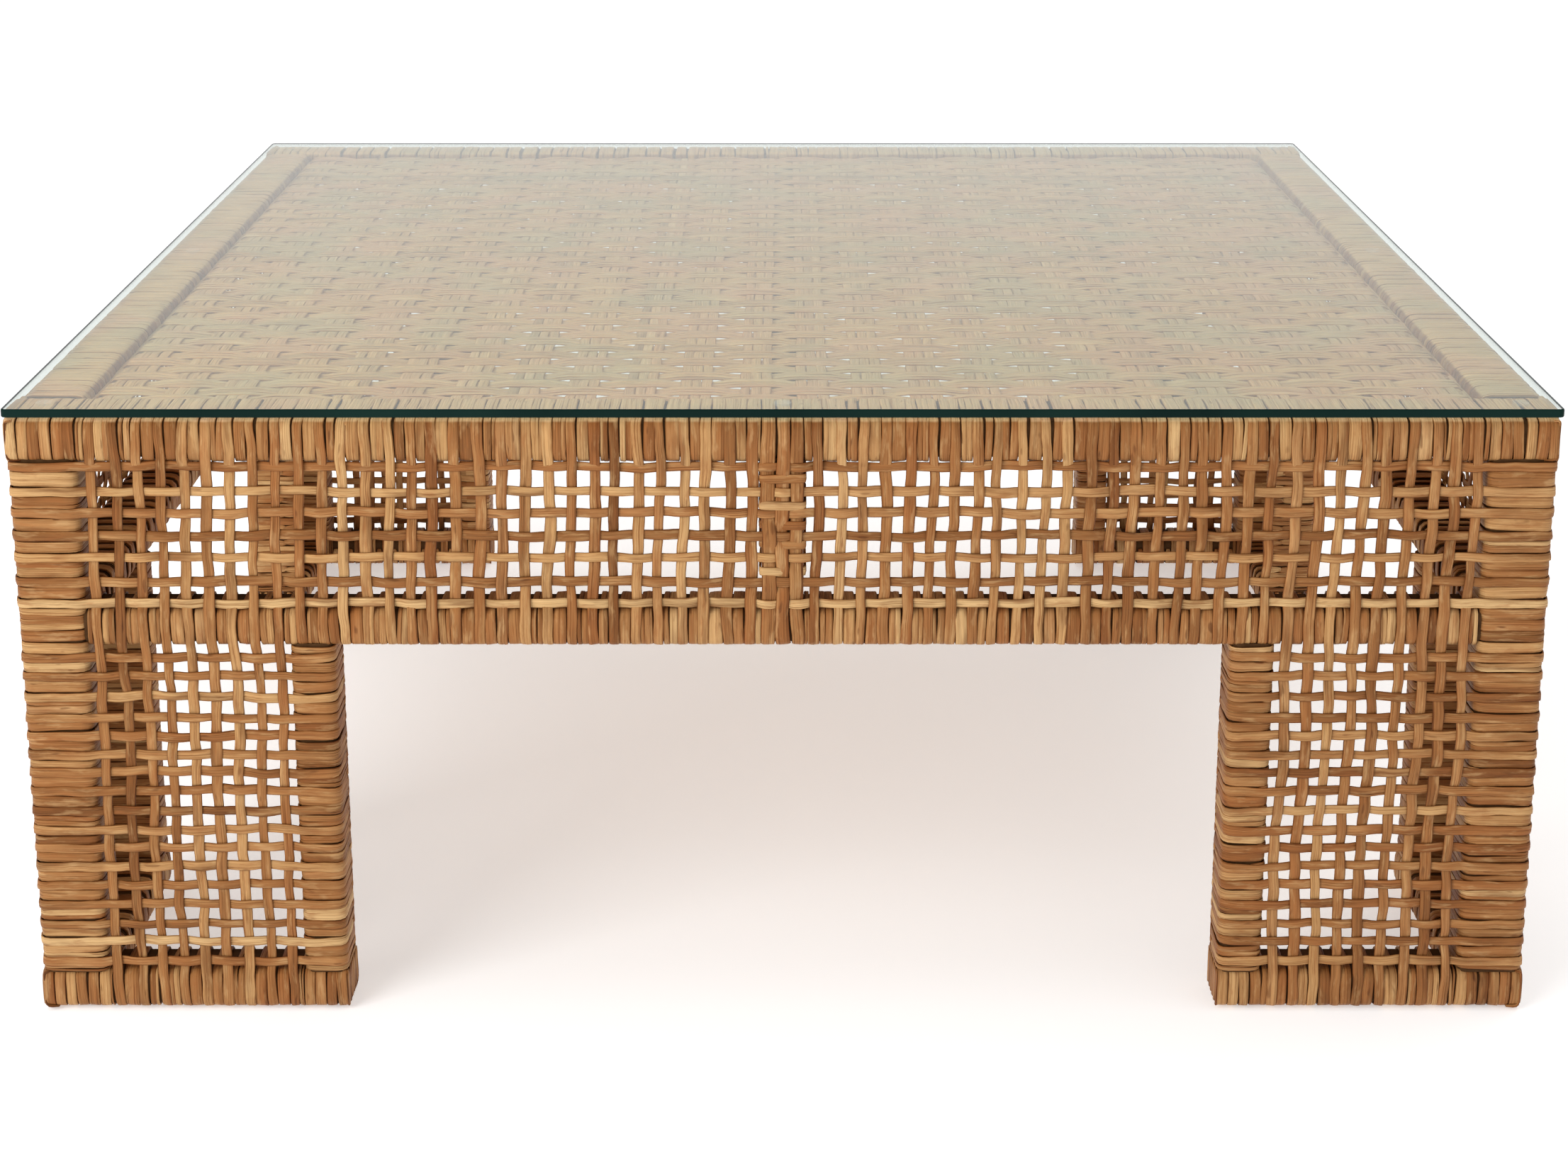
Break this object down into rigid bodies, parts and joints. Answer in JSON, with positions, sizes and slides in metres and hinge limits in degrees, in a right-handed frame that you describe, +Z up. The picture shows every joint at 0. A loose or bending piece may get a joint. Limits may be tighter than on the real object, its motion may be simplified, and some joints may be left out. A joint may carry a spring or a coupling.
{
  "type": "wicker coffee table",
  "caption": "Square low table: cane-bound timber frame, open woven apron and L-shaped legs, close woven field under a loose glass plate.",
  "frame": {"origin": "centre of the footprint, on the floor", "axes": "+Z up; the front faces -Y; all four sides are alike apart from the corner joints"},
  "size_m": [1.067, 1.067, 0.45],
  "materials": {
    "glass": "clear float glass with polished dark green edges",
    "clear_pad": "clear soft plastic",
    "frame_timber": "sawn softwood, unfinished",
    "dowel": "beech dowel",
    "binding_cane": "flat natural cane strand wound side by side, satin",
    "panel_cane": "flat natural cane strand in open plain weave, satin",
    "field_cane": "flat natural cane strand in close basket weave, satin",
    "glide": "black plastic"
  },
  "bodies": {
    "base": {"glass_pads": "clear_pad", "top_rail_front": "frame_timber", "top_rail_back": "frame_timber", "top_rail_left": "frame_timber", "top_rail_right": "frame_timber", "apron_rail_front": "frame_timber", "apron_rail_back": "frame_timber", "apron_rail_left": "frame_timber", "apron_rail_right": "frame_timber", "centre_stile_front": "frame_timber", "centre_stile_back": "frame_timber", "centre_stile_left": "frame_timber", "centre_stile_right": "frame_timber", "corner_post_front_left": "frame_timber", "corner_post_front_right": "frame_timber", "corner_post_back_left": "frame_timber", "corner_post_back_right": "frame_timber", "end_post_front_left_x": "frame_timber", "end_post_front_left_y": "frame_timber", "end_post_front_right_x": "frame_timber", "end_post_front_right_y": "frame_timber", "end_post_back_left_x": "frame_timber", "end_post_back_left_y": "frame_timber", "end_post_back_right_x": "frame_timber", "end_post_back_right_y": "frame_timber", "foot_rail_front_left_x": "frame_timber", "foot_rail_front_left_y": "frame_timber", "foot_rail_front_right_x": "frame_timber", "foot_rail_front_right_y": "frame_timber", "foot_rail_back_left_x": "frame_timber", "foot_rail_back_left_y": "frame_timber", "foot_rail_back_right_x": "frame_timber", "foot_rail_back_right_y": "frame_timber", "top_battens": "frame_timber", "frame_dowels": "dowel", "foot_glides": "glide", "rail_binding_front": "binding_cane", "rail_binding_back": "binding_cane", "rail_binding_left": "binding_cane", "rail_binding_right": "binding_cane", "leg_binding_front_left": "binding_cane", "leg_binding_front_right": "binding_cane", "leg_binding_back_left": "binding_cane", "leg_binding_back_right": "binding_cane", "top_weave": "field_cane", "apron_weave_front": "panel_cane", "apron_weave_back": "panel_cane", "apron_weave_left": "panel_cane", "apron_weave_right": "panel_cane", "leg_weave_front_left_x": "panel_cane", "leg_weave_front_left_y": "panel_cane", "leg_weave_front_right_x": "panel_cane", "leg_weave_front_right_y": "panel_cane", "leg_weave_back_left_x": "panel_cane", "leg_weave_back_left_y": "panel_cane", "leg_weave_back_right_x": "panel_cane", "leg_weave_back_right_y": "panel_cane"},
    "glass": {"glass_top": "glass"}
  },
  "joints": [
    {"name": "glass_lift", "type": "slide", "parent": "base", "child": "glass", "axis": [0, 0, 1], "range_m": [0, 0.1]}
  ]
}
